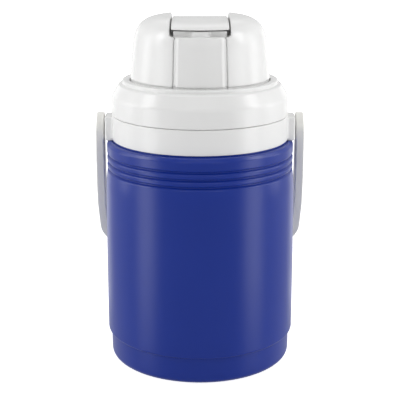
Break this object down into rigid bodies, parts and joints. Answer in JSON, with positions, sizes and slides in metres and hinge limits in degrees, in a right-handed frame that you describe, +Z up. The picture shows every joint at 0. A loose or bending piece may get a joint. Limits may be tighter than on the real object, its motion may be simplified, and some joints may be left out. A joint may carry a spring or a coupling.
{
  "type": "insulated drink jug",
  "caption": "Round double-wall insulated jug with a screw lid, a domed spout under a flip cover, and a strap bail that swings over the top.",
  "frame": {"origin": "centre of the base, 1.2 mm under the flat panel inside the foot ring, on the surface that the jug stands on", "axes": "+Z up along the jug's axis, -Y towards the drinking side, +X along the bail's pivot axis"},
  "size_m": [0.1548, 0.1532, 0.2463],
  "materials": {
    "blue_shell": "satin moulded polyethylene, royal blue",
    "blue_plug": "matt moulded plastic, dark blue",
    "white_lid": "semi-gloss moulded polypropylene, white",
    "grey_bail": "satin moulded plastic, light grey",
    "liner": "satin natural white polyethylene",
    "foam": "rigid urethane foam, pale yellow",
    "seal": "matt silicone, light grey",
    "pin_steel": "plain stainless steel"
  },
  "bodies": {
    "body": {"outer_shell": "blue_shell", "base_cap": "blue_shell", "fill_plug": "blue_plug", "foam_body": "foam", "inner_liner": "liner", "neck_collar": "white_lid"},
    "bail": {"bail_handle": "grey_bail"},
    "lid_ring": {"lid_gasket": "seal"},
    "lid": {"lid_shell": "white_lid", "lid_liner": "liner", "lid_foam": "foam", "dome_shell": "white_lid", "spout_housing": "white_lid", "spout_tube": "white_lid", "spout_seal": "seal", "hinge_pin": "pin_steel"},
    "cover": {"flip_cover": "white_lid", "spout_plug": "seal"}
  },
  "joints": [
    {"name": "bail_swing", "type": "hinge", "parent": "body", "child": "bail", "pos_m": [0, 0, 0.17], "axis": [1, 0, 0], "range_deg": [0, 289]},
    {"name": "lid_rise", "type": "slide", "parent": "body", "child": "lid_ring", "axis": [0, 0, 1], "range_m": [0, 0.0106]},
    {"name": "lid_turn", "type": "hinge", "parent": "lid_ring", "child": "lid", "pos_m": [0, 0, 0.19], "axis": [0, 0, 1], "range_deg": [0, 540]},
    {"name": "cover_flip", "type": "hinge", "parent": "lid", "child": "cover", "pos_m": [0, 0.033, 0.2387], "axis": [-1, 0, 0], "range_deg": [0, 115]}
  ],
  "couplings": [
    {"joint": "lid_rise", "follows": "lid_turn", "m_per_rad": 0.0011141}
  ]
}
